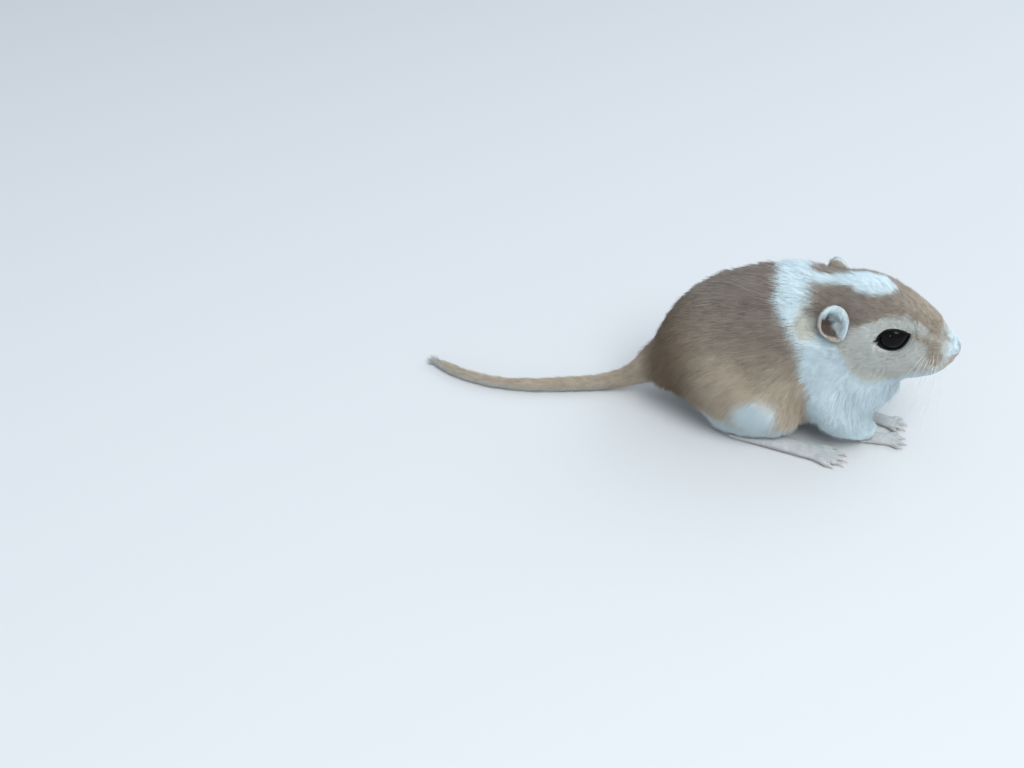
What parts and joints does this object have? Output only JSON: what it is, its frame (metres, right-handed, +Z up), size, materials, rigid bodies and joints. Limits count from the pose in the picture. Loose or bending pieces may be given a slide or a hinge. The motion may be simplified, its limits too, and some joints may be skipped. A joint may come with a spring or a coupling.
{
  "type": "young gerbil",
  "caption": "Young Mongolian gerbil, life size, crouched on its feet with head raised and tail laid out behind; agouti coat with a white collar and blaze.",
  "frame": {"origin": "middle of the footprint's box, at floor level", "axes": "+X ahead, towards the nose; +Y to the animal's left; +Z up"},
  "size_m": [0.1198, 0.0346, 0.0393],
  "materials": {
    "coat": "short dense agouti fur",
    "pale_coat": "short dense white fur",
    "bare_skin": "thin pinkish skin with sparse hair",
    "ear_skin": "thin skin with fine short hair",
    "eye": "wet, glossy black",
    "claw": "translucent horn",
    "whisker": "fine pale hair"
  },
  "bodies": {
    "root": {"torso": "coat", "neck": "pale_coat", "head": "coat", "ear_left": "ear_skin", "ear_right": "ear_skin", "eye_left": "eye", "eye_right": "eye", "hindleg_left": "coat", "hindleg_right": "coat", "hindfoot_left": "bare_skin", "hindfoot_right": "bare_skin", "foreleg_left": "pale_coat", "foreleg_right": "pale_coat", "forefoot_left": "bare_skin", "forefoot_right": "bare_skin", "tail_base": "coat", "tail_middle": "coat", "tail_end": "coat"}
  },
  "joints": []
}
